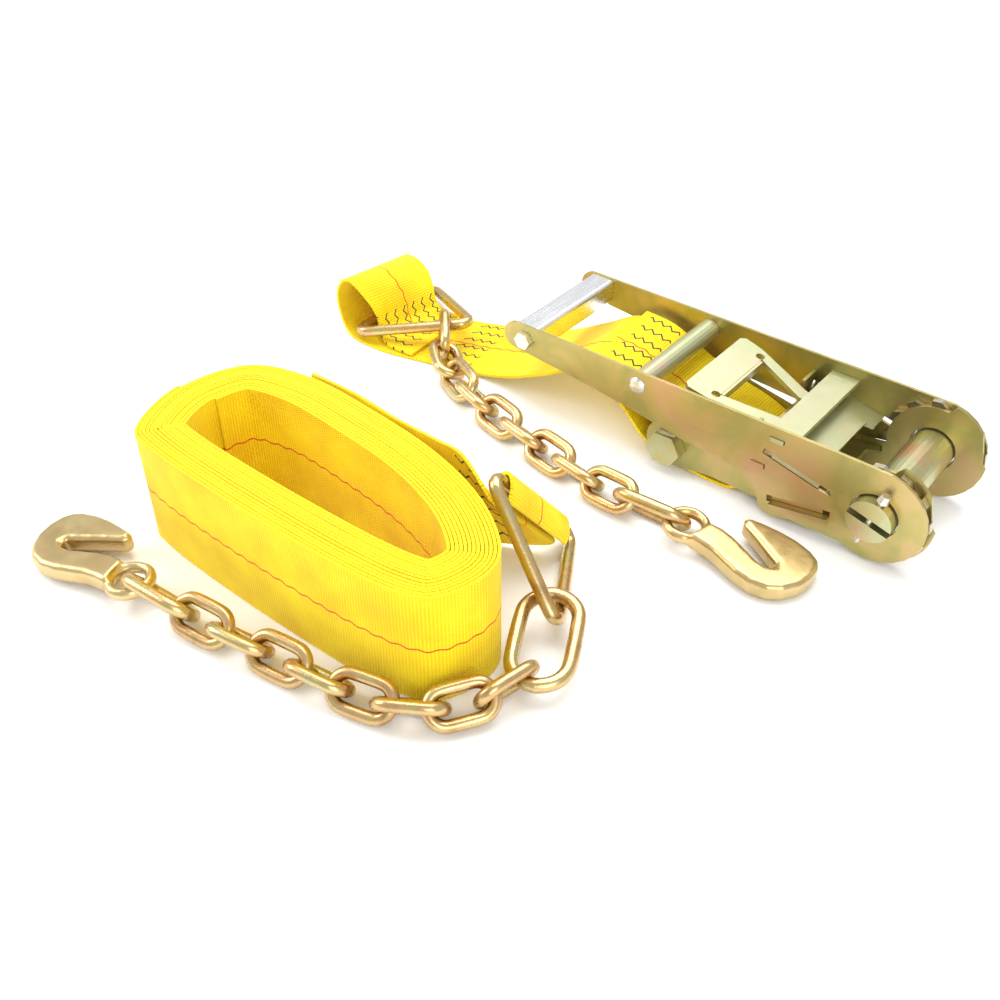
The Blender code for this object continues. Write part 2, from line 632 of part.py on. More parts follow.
def make_short_strap(webbing):
    """Short strap: a loop through the ring, a lifted run, a loop round the frame bolt and its sewn end."""
    edges = [tuple(Vector(point) * MM for point in pair) for pair in SHORT_STRAP_ROUTE]
    stations = with_normals(resampled(edges, 3))
    add_object("short_strap", band("short_strap", stations, WEB_THICK), webbing, Vector((BOLT_X, 0, BOLT_Z)))


COIL_OUTLINE = (
    # outermost turn in plan, in millimetres of the bench frame
    (-503, -335), (-484, -392), (-452, -406), (-358, -411.5), (-245, -411), (-188, -404), (-165, -388),
    (-155, -352), (-167, -322), (-212, -290), (-276, -268), (-350, -257.5), (-426, -254.5), (-484, -275))


def make_coil(webbing):
    """The wound strap stands on edge: one closed oval ring of its true outer shape."""
    outer = closed_curve(COIL_OUTLINE, 3)
    count = len(outer)
    inner = []
    for i, point in enumerate(outer):
        along = (outer[(i + 1) % count] - outer[i - 1]).normalized()
        inner.append(point + Vector((-along.y, along.x, 0.0)) * COIL_PACK)
    bm = bmesh.new()
    loops = []
    top = COIL_FOOT + WEB_WIDTH
    for ring, z in ((outer, COIL_FOOT), (outer, top), (inner, top), (inner, COIL_FOOT)):
        loops.append([bm.verts.new(point + Vector((0, 0, z))) for point in ring])
    for a, b in zip(loops, loops[1:] + loops[:1]):
        for i in range(count):
            j = (i + 1) % count
            bm.faces.new((a[i], a[j], b[j], b[i]))
    add_object("strap_coil", mesh_from("strap_coil", bm), webbing, Vector((COIL_X, COIL_Y, 0.0)))


# Chains, rings and hooks

def axes(heading, pitch, roll):
    """A link's own axes on the bench: along its length, across it, and off its plane. Angles in degrees."""
    h, p, r = (math.radians(v) for v in (heading, pitch, roll))
    along = Vector((math.cos(h) * math.cos(p), math.sin(h) * math.cos(p), -math.sin(p)))
    side = Vector((0, 0, 1)).cross(along).normalized()
    up = along.cross(side)
    across = side * math.cos(r) + up * math.sin(r)
    return along, across, along.cross(across)


def frame_matrix(origin, along, across, normal):
    """A matrix whose columns are the three axes and the origin."""
    rotation = Matrix((along, across, normal)).transposed()
    return Matrix.Translation(origin) @ rotation.to_4x4()


class Ring:
    """A triangular ring: the webbing turns round its first side, the chain pulls at its apex."""

    def __init__(self, web_middle, web, apex):
        self.web = web.normalized()
        self.apex = (apex - self.web * apex.dot(self.web)).normalized()
        self.normal = self.web.cross(self.apex)
        self.bar = web_middle - self.apex * RING_CORNER
        height = RING_SIDE * math.sqrt(0.75)
        self.corners = (web_middle - self.web * RING_SIDE / 2.0, web_middle + self.web * RING_SIDE / 2.0,
                        web_middle + self.apex * height)

    def point(self, along, depth, off):
        """A point beside the webbing's bar: along it, towards the apex and off the ring's plane."""
        return self.bar + self.web * along + self.apex * depth + self.normal * off

    def add(self, name, steel):
        steps = 5
        path = []
        for corner, start in zip(self.corners, (150.0, 270.0, 30.0)):
            for i in range(steps + 1):
                angle = math.radians(start + 120.0 * i / steps)
                outward = self.web * math.cos(angle) + self.apex * math.sin(angle)
                path.append((corner, outward))
        bm = bmesh.new()
        rings = []
        for corner, outward in path:
            ring = []
            for k in range(10):
                angle = 2.0 * math.pi * (k + 0.5) / 10
                offset = outward * (RING_CORNER + RING_WIRE / 2.0 * math.cos(angle))
                ring.append(bm.verts.new(corner + offset + self.normal * (RING_WIRE / 2.0 * math.sin(angle))))
            rings.append(ring)
        for i in range(len(rings)):
            a, b = rings[i], rings[(i + 1) % len(rings)]
            for k in range(10):
                j = (k + 1) % 10
                bm.faces.new((a[k], b[k], b[j], a[j]))
        add_object(name, mesh_from(name, bm), steel, self.bar.copy())


HOOK_OUTLINE = (
    # body in plan from the neck round the prong and back, in millimetres from the eye's centre
    (12.0, 13.0), (24.0, 16.5), (38.0, 17.0), (52.0, 15.0), (66.0, 13.0), (74.0, 14.0), (79.5, 19.0),
    (77.0, 23.5), (65.0, 26.5), (48.0, 31.0), (30.0, 35.0), (26.5, 39.5), (28.5, 44.5), (39.0, 49.0),
    (54.0, 54.0), (69.0, 57.0), (84.0, 57.0), (94.0, 54.0), (100.0, 47.0), (104.0, 36.0), (105.0, 22.0),
    (100.0, 7.0), (92.0, -3.0), (79.0, -9.5), (64.0, -11.0), (50.0, -10.0), (36.0, -9.0),
    (24.0, -10.5), (12.0, -13.0))


def make_hook(name, eye_centre, along, across, normal, pivot, steel):
    """Forged eye grab hook: a round eye, a shank and a deep parallel throat, bevelled all round."""
    frame = frame_matrix(eye_centre, along, across, normal) @ Matrix.Rotation(math.radians(-90.0), 4, "X")
    half = HOOK_THICK / 2.0
    body = [(x * MM, y * MM) for x, y in HOOK_OUTLINE]
    hook = add_object(name, prism(name, body, -half, half, frame), steel, pivot, 50.0)
    bevel = hook.modifiers.new("edge", "BEVEL")
    bevel.width = 3.0 * MM
    bevel.segments = 1
    bevel.limit_method = "ANGLE"
    bevel.angle_limit = math.radians(60.0)
    half = EYE_THICK / 2.0
    rim = 3.2 * MM
    union(hook, turned_disc(EYE_OUTER, half, rim, frame))
    hole = turned_disc(EYE_HOLE + rim + 2.0 * MM, half + 2.0 * MM, 0.0, frame, EYE_HOLE, half - rim)
    cut(hook, hole)


def turned_disc(radius, half, rim, frame, waist=None, waist_half=0.0):
    """A turned disc about the frame's Y axis: chamfered outside, or drawn in to a waist."""
    if waist is None:
        profile = ((radius - rim, -half), (radius, -half + rim), (radius, half - rim), (radius - rim, half))
    else:
        profile = ((radius, -half), (waist, -waist_half), (waist, waist_half), (radius, half))
    steps = 20
    bm = bmesh.new()
    rings = []
    for r, y in profile:
        rings.append([bm.verts.new((x, y, z)) for x, z in arc(0.0, 0.0, r, 0.0, 360.0 - 360.0 / steps, steps - 1)])
    for a, b in zip(rings, rings[1:]):
        for i in range(steps):
            j = (i + 1) % steps
            bm.faces.new((a[i], a[j], b[j], b[i]))
    bm.faces.new(list(reversed(rings[0])))
    bm.faces.new(rings[-1])
    bmesh.ops.transform(bm, matrix=frame, verts=bm.verts)
    return mesh_from("disc", bm)


class Chain:
    """Interlocked links laid end to end; each hangs on the front bow of the one before."""

    def __init__(self, steel, bow, bow_wire, bow_along):
        self.steel = steel
        self.bow = bow
        self.bow_wire = bow_wire
        self.bow_along = bow_along

    def centre_of(self, along, reach, wire):
        mean = (self.bow_along + along).normalized()
        return self.bow - mean * ((self.bow_wire + wire) / 2.0 + LINK_GAP) + along * reach

    def pitch_to(self, size, heading, height):
        """The pitch, in degrees, that brings a link's far bow to the given height."""
        inner, _, wire = size
        reach = (inner + wire) / 2.0
        low, high = -50.0, 50.0
        for _ in range(30):
            pitch = (low + high) / 2.0
            along = axes(heading, pitch, 0.0)[0]
            if (self.centre_of(along, reach, wire) + along * reach).z > height:
                low = pitch
            else:
                high = pitch
        return pitch

    def add(self, name, size, heading, roll, height):
        """Hang one link on the last bow; its origin is on that bow's wire centre."""
        inner, inner_width, wire = size
        along, across, normal = axes(heading, self.pitch_to(size, heading, height * MM), roll)
        reach = (inner + wire) / 2.0
        centre = self.centre_of(along, reach, wire)
        mesh = wire_link(name, inner, inner_width, wire)
        mesh.transform(frame_matrix(centre, along, across, normal))
        add_object(name, mesh, self.steel, self.bow.copy())
        self.bow = centre + along * reach
        self.bow_wire = wire
        self.bow_along = along
        self.bow_across = across
        self.bow_radius = (inner_width + wire) / 2.0

    def slide(self, degrees):
        """Move the place where the next link hangs round the last bow."""
        turn = math.radians(degrees)
        outward = self.bow_along * math.cos(turn) + self.bow_across * math.sin(turn)
        self.bow += (outward - self.bow_along) * self.bow_radius
        self.bow_along = outward


LINK_SIZE = (LINK_INNER, LINK_INNER_WIDTH, WIRE)
CONNECTOR_SIZE = (CONNECTOR_INNER, CONNECTOR_INNER_WIDTH, CONNECTOR_WIRE)
MASTER_SIZE = (MASTER_INNER, MASTER_INNER_WIDTH, MASTER_WIRE)

RATCHET_CHAIN = (
    # each link's heading and roll in degrees, its far bow's height in millimetres, and how far round
    # the bow before it hangs, in degrees
    (-49.0, 84.0, 17.4, 0.0), (-39.0, -22.0, 15.0, 0.0), (-25.0, 48.0, 15.4, 6.0), (-19.0, -42.0, 14.7, 0.0),
    (-14.0, 45.0, 14.7, 0.0), (-12.5, -45.0, 14.7, 0.0), (-11.0, 45.0, 14.7, 0.0), (-10.5, -45.0, 15.4, 0.0),
    (-4.0, 42.0, 17.6, 0.0))

STRAP_CHAIN = (
    (-100.0, 66.0, 19.2, -34.0), (-124.0, -40.0, 15.8, -12.0), (-150.0, 46.0, 14.9, -14.0),
    (-166.0, -44.0, 14.7, 0.0), (-172.0, 45.0, 14.7, 0.0), (-172.0, -45.0, 14.7, 0.0),
    (-171.0, 45.0, 15.4, 0.0), (-172.0, -42.0, 17.6, 0.0))


def ring_one():
    """Ratchet half's ring: its web side lies in the strap's standing loop, its apex is raised."""
    corner = Vector((-550.9, -65.8, 15.1)) * MM
    other = Vector((-552.3, 33.4, 12.6)) * MM
    apex = Vector((-471.5, -13.9, 29.6)) * MM
    middle = (corner + other) / 2.0
    return Ring(middle, other - corner, apex - middle)


def ring_two():
    """Long strap half's ring: its web side stands in the strap's turned end, its apex points down."""
    return Ring(Vector((-206.6, -234.0, 51.0)) * MM, Vector((-0.2, -0.597, 0.777)), Vector((0.715, -0.617, -0.33)))


def hang_hook(chain, name, heading, turn):
    """Hang the grab hook's eye on the last bow of a chain, its bend on the ground; turn is 0 or 180 degrees."""
    pitch = math.degrees(math.asin((HOOK_EYE_HEIGHT - HOOK_THICK / 2.0 - GROUND) / HOOK_REACH))
    along, across, normal = axes(heading, pitch, turn)
    eye = chain.bow + along * EYE_PULL
    eye.z = HOOK_EYE_HEIGHT
    make_hook(name, eye, along, across, normal, chain.bow.copy(), chain.steel)


def make_ratchet_chain(steel):
    ring = ring_one()
    ring.add("ratchet_ring", steel)
    side = (ring.corners[2] - ring.corners[0]).normalized()
    outward = ring.normal.cross(side)
    hold = ring.corners[0] + outward * RING_CORNER + side * (80.0 * MM)
    chain = Chain(steel, hold, RING_WIRE, axes(-49.0, 20.0, 0.0)[0])
    for i, (heading, roll, height, turn) in enumerate(RATCHET_CHAIN):
        if turn:
            chain.slide(turn)
        chain.add(f"ratchet_chain_link_{i + 1}", LINK_SIZE, heading, roll, height)
    chain.add("ratchet_connecting_link", CONNECTOR_SIZE, 2.0, -52.0, 18.4)
    hang_hook(chain, "ratchet_grab_hook", -14.0, 0.0)


def make_strap_chain(steel):
    ring = ring_two()
    ring.add("strap_ring", steel)
    hold = ring.corners[2] + ring.apex * RING_CORNER
    chain = Chain(steel, hold, RING_WIRE + 15.0 * MM, ring.apex)
    chain.add("strap_master_link", MASTER_SIZE, -63.0, 2.0, 15.6)
    for i, (heading, roll, height, turn) in enumerate(STRAP_CHAIN):
        if turn:
            chain.slide(turn)
        chain.add(f"strap_chain_link_{i + 1}", LINK_SIZE, heading, roll, height)
    chain.add("strap_connecting_link", CONNECTOR_SIZE, -176.0, 52.0, 18.4)
    hang_hook(chain, "strap_grab_hook", -162.0, 180.0)


LEAD_ROUTE = (
    # bottom edge x, y, z; top edge x, y, z, in millimetres of the bench frame, along the back of the coil
    ((-430, -252.0, 0.5), (-430, -252.0, 102)),
    ((-380, -251.5, 0.5), (-380, -251.5, 102)),
    ((-330, -256.5, 0.5), (-330, -256.5, 102)),
    ((-283, -256.0, 1.0), (-286, -258.0, 102)),
    ((-245, -235.0, 3.0), (-258, -258.0, 99)),
)
LEAD_TURN = (
    # round the ring's web side: distance towards the apex and off the ring's plane, in millimetres
    (12, -12), (4, -9.5), (-5, -6.5), (-8, 0), (-5, 6.5), (3, 7.6), (12, 5.5), (19, 1))
LEAD_PINCH = 44.0 * MM


def make_lead(webbing):
    """The strap's outer end, from the back of the coil to its turn round the ring's web side."""
    edges = [tuple(Vector(point) * MM for point in pair) for pair in LEAD_ROUTE]
    ring = ring_two()
    for depth, off in LEAD_TURN:
        place = (depth * MM, off * MM)
        edges.append((ring.point(-LEAD_PINCH, *place), ring.point(LEAD_PINCH, *place)))
    stations = with_normals(resampled(edges, 3))
    add_object("strap_lead", band("strap_lead", stations, WEB_THICK), webbing, Vector((COIL_X, COIL_Y, 0.0)))


for existing in list(bpy.data.objects):
    bpy.data.objects.remove(existing, do_unlink=True)

yellow_zinc = finish("yellow_zinc", (0.62, 0.47, 0.20), 0.32, 1.0)
chain_zinc = finish("chain_zinc", (0.66, 0.46, 0.26), 0.30, 1.0)
bolt_zinc = finish("bolt_zinc", (0.58, 0.55, 0.34), 0.35, 1.0)
bright_zinc = finish("bright_zinc", (0.72, 0.71, 0.66), 0.30, 1.0)
grip_aluminium = finish("grip_aluminium", (0.80, 0.81, 0.83), 0.25, 1.0)
yellow_webbing = finish("yellow_webbing", (0.95, 0.76, 0.02), 0.75, 0.0)

make_frame(yellow_zinc, bolt_zinc)
make_frame_pawl(yellow_zinc, bright_zinc)
make_handle(yellow_zinc, grip_aluminium, bright_zinc)
make_handle_pawl(yellow_zinc, bright_zinc)
make_mandrel(yellow_zinc, bolt_zinc, bright_zinc)
make_short_strap(yellow_webbing)
make_ratchet_chain(chain_zinc)
make_coil(yellow_webbing)
make_lead(yellow_webbing)
make_strap_chain(chain_zinc)
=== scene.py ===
import bpy
import bmesh
import json
import math
import random
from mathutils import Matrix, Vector


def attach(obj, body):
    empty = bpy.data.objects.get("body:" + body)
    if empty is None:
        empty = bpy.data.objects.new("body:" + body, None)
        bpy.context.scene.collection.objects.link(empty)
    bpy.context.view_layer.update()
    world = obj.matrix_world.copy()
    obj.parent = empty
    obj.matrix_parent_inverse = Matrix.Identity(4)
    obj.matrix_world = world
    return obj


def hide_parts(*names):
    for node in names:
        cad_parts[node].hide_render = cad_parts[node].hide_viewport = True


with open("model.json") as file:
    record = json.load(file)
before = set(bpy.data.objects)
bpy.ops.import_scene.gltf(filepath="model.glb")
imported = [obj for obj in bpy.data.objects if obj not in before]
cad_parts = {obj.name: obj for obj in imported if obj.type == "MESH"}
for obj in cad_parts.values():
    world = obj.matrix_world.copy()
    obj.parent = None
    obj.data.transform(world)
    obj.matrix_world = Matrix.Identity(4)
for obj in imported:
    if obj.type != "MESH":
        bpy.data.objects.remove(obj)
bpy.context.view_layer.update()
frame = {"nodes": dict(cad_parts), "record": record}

# The bench and the light round it: a pale sheet of paper, a big soft window from above and behind,
# and two weaker lights from the viewer's side, so that the plating shows its colours.
PAPER = 6.0
EYE = Vector((0.4875, -0.5825, 0.630))
EYE_TURN = (math.radians(51.0), 0.0, math.radians(38.85))


def add_window(name, place, aim, size, power):
    bpy.ops.object.light_add(type="AREA", location=place)
    window = bpy.context.object
    window.name = name
    window.data.size = size
    window.data.energy = power
    window.rotation_euler = (Vector(aim) - Vector(place)).to_track_quat("-Z", "Y").to_euler()


bpy.ops.object.camera_add(location=EYE, rotation=EYE_TURN)
eye = bpy.context.object
eye.data.lens = 41.47
eye.data.sensor_width = 36.0
bpy.context.scene.camera = eye
bpy.ops.mesh.primitive_plane_add(size=PAPER, location=(0.0, 0.0, 0.0))
paper = bpy.context.object
paper.name = "paper"
sheet_of_paper = bpy.data.materials.new("paper_white")
sheet_of_paper.use_nodes = True
sheet_of_paper.node_tree.nodes["Principled BSDF"].inputs["Base Color"].default_value = (0.95, 0.95, 0.95, 1.0)
sheet_of_paper.node_tree.nodes["Principled BSDF"].inputs["Roughness"].default_value = 0.9
paper.data.materials.append(sheet_of_paper)
add_window("window_above", (-0.3, 0.6, 1.8), (0.0, 0.0, 0.0), 1.8, 42.0)
add_window("window_left", (-1.6, -0.9, 1.1), (0.0, 0.0, 0.05), 1.2, 20.0)
add_window("fill_right", (1.5, -1.1, 0.9), (0.0, 0.0, 0.05), 1.2, 16.0)
room = bpy.data.worlds.new("room")
room.use_nodes = True
room.node_tree.nodes["Background"].inputs["Color"].default_value = (1.0, 1.0, 1.0, 1.0)
room.node_tree.nodes["Background"].inputs["Strength"].default_value = 0.75
bpy.context.scene.world = room
bpy.context.scene.view_settings.view_transform = "Standard"

# Ratchet frame and handle plates: pressed mild steel, yellow-chromated zinc, whose film breaks up
# into straw, pink and green patches, and shows finer grain and faint rolling scratches.


def plating(name, colours, roughness, metallic, patch, scratch, grain=900.0):
    """Zinc with a passivated film: patches of colour, uneven gloss and a fine grain."""
    film = bpy.data.materials.new(name)
    film.use_nodes = True
    nodes, links = film.node_tree.nodes, film.node_tree.links
    steel = nodes["Principled BSDF"]
    steel.inputs["Metallic"].default_value = metallic
    place = nodes.new("ShaderNodeTexCoord")
    clouds = nodes.new("ShaderNodeTexNoise")
    clouds.inputs["Scale"].default_value = patch
    clouds.inputs["Detail"].default_value = 5.0
    clouds.inputs["Distortion"].default_value = 0.6
    ramp = nodes.new("ShaderNodeValToRGB")
    ramp.color_ramp.elements[0].position = 0.3
    ramp.color_ramp.elements[1].position = 0.7
    ramp.color_ramp.elements[0].color = (*colours[0], 1.0)
    ramp.color_ramp.elements[1].color = (*colours[-1], 1.0)
    for i, colour in enumerate(colours[1:-1]):
        stop = ramp.color_ramp.elements.new(0.3 + 0.4 * (i + 1) / (len(colours) - 1))
        stop.color = (*colour, 1.0)
    dust = nodes.new("ShaderNodeTexNoise")
    dust.inputs["Scale"].default_value = grain
    dust.inputs["Detail"].default_value = 3.0
    gloss = nodes.new("ShaderNodeMapRange")
    gloss.inputs["To Min"].default_value = roughness - 0.1
    gloss.inputs["To Max"].default_value = roughness + 0.14
    stretch = nodes.new("ShaderNodeMapping")
    stretch.inputs["Scale"].default_value = scratch
    lines = nodes.new("ShaderNodeTexNoise")
    lines.inputs["Scale"].default_value = 60.0
    lines.inputs["Detail"].default_value = 6.0
    height = nodes.new("ShaderNodeMath")
    height.operation = "ADD"
    bump = nodes.new("ShaderNodeBump")
    bump.inputs["Strength"].default_value = 0.22
    bump.inputs["Distance"].default_value = 0.0004
    links.new(place.outputs["Object"], clouds.inputs["Vector"])
    links.new(place.outputs["Object"], dust.inputs["Vector"])
    links.new(place.outputs["Object"], stretch.inputs["Vector"])
    links.new(stretch.outputs["Vector"], lines.inputs["Vector"])
    links.new(clouds.outputs["Fac"], ramp.inputs["Fac"])
    links.new(ramp.outputs["Color"], steel.inputs["Base Color"])
    links.new(lines.outputs["Fac"], gloss.inputs["Value"])
    links.new(gloss.outputs["Result"], steel.inputs["Roughness"])
    links.new(dust.outputs["Fac"], height.inputs[0])
    links.new(lines.outputs["Fac"], height.inputs[1])
    links.new(height.outputs["Value"], bump.inputs["Height"])
    links.new(bump.outputs["Normal"], steel.inputs["Normal"])
    return film


def finish_nodes(material, *names):
    """Give CAD pieces their finish."""
    for name in names:
        piece = frame["nodes"][name]
        piece.data.materials.clear()
        piece.data.materials.append(material)


STRAW, ROSE, OLIVE = (0.54, 0.42, 0.17), (0.62, 0.40, 0.24), (0.40, 0.37, 0.13)
PALE_GREEN, PALE_PINK = (0.50, 0.52, 0.30), (0.66, 0.50, 0.36)
plate_zinc = plating("plate_zinc", (ROSE, STRAW, OLIVE, STRAW), 0.34, 0.9, 14.0, (1.0, 9.0, 9.0))
finish_nodes(plate_zinc, "frame_side_near", "frame_side_far", "frame_cross_plate",
             "handle_side_near", "handle_side_far", "handle_spring_plate", "frame_pawl")
pale_zinc = plating("pale_zinc", (PALE_PINK, PALE_GREEN, (0.56, 0.52, 0.34)), 0.36, 0.85, 18.0, (1.0, 6.0, 6.0))
finish_nodes(pale_zinc, "handle_pawl", "handle_cross_plate", "spacer_tube")
bolt_zinc = plating("bolt_zinc", (STRAW, PALE_GREEN, ROSE), 0.32, 0.95, 30.0, (8.0, 1.0, 8.0))
finish_nodes(bolt_zinc, "frame_bolt", "frame_nut", "mandrel_half_upper", "mandrel_half_lower")

# Bright pieces: the grip is a drawn aluminium bar, polished along its length, and its bolts, the
# rivet, springs and split pins are plain bright zinc.
bright_zinc = plating("bright_zinc", ((0.62, 0.61, 0.57), (0.78, 0.77, 0.74)), 0.26, 1.0, 60.0, (6.0, 6.0, 6.0))
finish_nodes(bright_zinc, "grip_bolt_near", "grip_bolt_far", "spacer_rivet", "split_pin_near", "split_pin_far",
             "handle_pawl_spring_near", "handle_pawl_spring_far", "frame_pawl_spring")
drawn_aluminium = plating("drawn_aluminium", ((0.76, 0.77, 0.79), (0.86, 0.87, 0.89)), 0.24, 1.0, 9.0,
                          (14.0, 0.6, 14.0))
finish_nodes(drawn_aluminium, "grip_tube")

# Ratchet wheels: each is a pack of four stamped laminations riveted side by side, so thin dark
# lines run round the rim.
LAMINATION = 0.00135


def laminate(name):
    pack = plating(name, ((0.50, 0.47, 0.36), (0.66, 0.58, 0.42)), 0.3, 1.0, 40.0, (6.0, 6.0, 6.0))
    nodes, links = pack.node_tree.nodes, pack.node_tree.links
    place = nodes.new("ShaderNodeTexCoord")
    split = nodes.new("ShaderNodeSeparateXYZ")
    turn = nodes.new("ShaderNodeMath")
    turn.operation = "MULTIPLY"
    turn.inputs[1].default_value = 2.0 * math.pi / LAMINATION
    wave = nodes.new("ShaderNodeMath")
    wave.operation = "SINE"
    seam = nodes.new("ShaderNodeMapRange")
    seam.inputs["From Min"].default_value = 0.8
    seam.inputs["To Min"].default_value = 0.0
    seam.inputs["To Max"].default_value = 0.8
    shade = nodes.new("ShaderNodeMixRGB")
    shade.inputs["Color2"].default_value = (0.10, 0.08, 0.05, 1.0)
    steel = nodes["Principled BSDF"]
    film = steel.inputs["Base Color"].links[0].from_socket
    links.new(place.outputs["Object"], split.inputs["Vector"])
    links.new(split.outputs["Y"], turn.inputs[0])
    links.new(turn.outputs["Value"], wave.inputs[0])
    links.new(wave.outputs["Value"], seam.inputs["Value"])
    links.new(seam.outputs["Result"], shade.inputs["Fac"])
    links.new(film, shade.inputs["Color1"])
    links.new(shade.outputs["Color"], steel.inputs["Base Color"])
    return pack


finish_nodes(laminate("wheel_laminations"), "ratchet_wheel_near", "ratchet_wheel_far")

# Chain, rings and links: round carbon-steel wire, bent and butt welded, then yellow zinc plated.
# Each is drawn smooth from its plain link. The real weld collars are not modelled.
RATCHET_LINKS = [f"ratchet_chain_link_{i}" for i in range(1, 10)]
STRAP_LINKS = [f"strap_chain_link_{i}" for i in range(1, 9)]
WIRE_SWELL = 0.0004


def copy_of(node, name):
    """A welded copy of a plain piece, selected and active."""
    piece = frame["nodes"][node].copy()
    piece.data = piece.data.copy()
    piece.name = name
    piece.parent = None
    piece.matrix_world.identity()
    bpy.context.scene.collection.objects.link(piece)
    bpy.ops.object.select_all(action="DESELECT")
    piece.hide_render = False
    piece.hide_viewport = False
    bpy.context.view_layer.objects.active = piece
    piece.select_set(True)
    bpy.ops.object.mode_set(mode="EDIT")
    bpy.ops.mesh.select_all(action="SELECT")
    bpy.ops.mesh.remove_doubles(threshold=0.00001)
    bpy.ops.mesh.tris_convert_to_quads(face_threshold=math.radians(30.0), shape_threshold=math.radians(60.0))
    bpy.ops.object.mode_set(mode="OBJECT")
    return piece


def place_piece(piece, node, material):
    """Finish a piece, let it stand for its plain node and ride with that node's body."""
    piece.data.materials.clear()
    piece.data.materials.append(material)
    for body, members in frame["record"]["behaviour"]["bodies"].items():
        if node in members:
            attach(piece, body)
    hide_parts(node)


def drawn_wire(node, material):
    """A smooth wire link or ring from its plain one."""
    wire = copy_of(node, node + "_wire")
    bpy.ops.object.mode_set(mode="EDIT")
    bpy.ops.transform.shrink_fatten(value=WIRE_SWELL)
    bpy.ops.object.mode_set(mode="OBJECT")
    round_off = wire.modifiers.new("round", "SUBSURF")
    round_off.levels = 2
    round_off.render_levels = 2
    bpy.ops.object.modifier_apply(modifier="round")
    bpy.ops.object.shade_smooth()
    place_piece(wire, node, material)
    return wire


CHAIN_COLOURS = ((0.42, 0.29, 0.12), (0.60, 0.39, 0.19), (0.58, 0.45, 0.20), (0.50, 0.46, 0.26))
chain_zinc = plating("chain_zinc", CHAIN_COLOURS, 0.27, 0.97, 34.0, (3.0, 3.0, 3.0), 500.0)
for node in RATCHET_LINKS + STRAP_LINKS + ["ratchet_ring", "strap_ring", "strap_master_link",
                                           "ratchet_connecting_link", "strap_connecting_link"]:
    drawn_wire(node, chain_zinc)

# Eye grab hooks: drop forged, so every edge is generous and the skin is faintly hammered; the deep
# parallel throat seizes one link on edge. The rounding comes from a fine skin that is then eased.
FORGING_GRAIN = 0.0011
EASING = 14
FORGED_COLOURS = ((0.50, 0.38, 0.17), (0.62, 0.46, 0.22), (0.66, 0.56, 0.28))
forged_zinc = plating("forged_zinc", FORGED_COLOURS, 0.3, 0.97, 22.0, (2.0, 2.0, 2.0), 300.0)
for node in ("ratchet_grab_hook", "strap_grab_hook"):
    hook = copy_of(node, node + "_forging")
    skin = hook.modifiers.new("skin", "REMESH")
    skin.mode = "VOXEL"
    skin.voxel_size = FORGING_GRAIN
    bpy.ops.object.modifier_apply(modifier="skin")
    ease = hook.modifiers.new("ease", "SMOOTH")
    ease.factor = 0.5
    ease.iterations = EASING
    bpy.ops.object.modifier_apply(modifier="ease")
    bpy.ops.object.shade_smooth()
    place_piece(hook, node, forged_zinc)

# Webbing: 4 in yellow polyester, woven with a cross rib, a red marker thread down its middle and
# firm selvedges. The short strap turns through the ring and round the frame bolt and is sewn back.
MM = 0.001
BENCH = Vector((278.5, 210.5, 0.0))
WEB_WIDTH = 0.1016
WEB_THICK = 0.0026
RIB = 0.0026
THREAD = 0.0021
MARKER_WAVE, MARKER_SWAY, MARKER_HALF = 0.014, 0.0008, 0.0008
ZIGZAG, STITCH_PITCH, STITCH_HALF = 0.005, 0.008, 0.0011


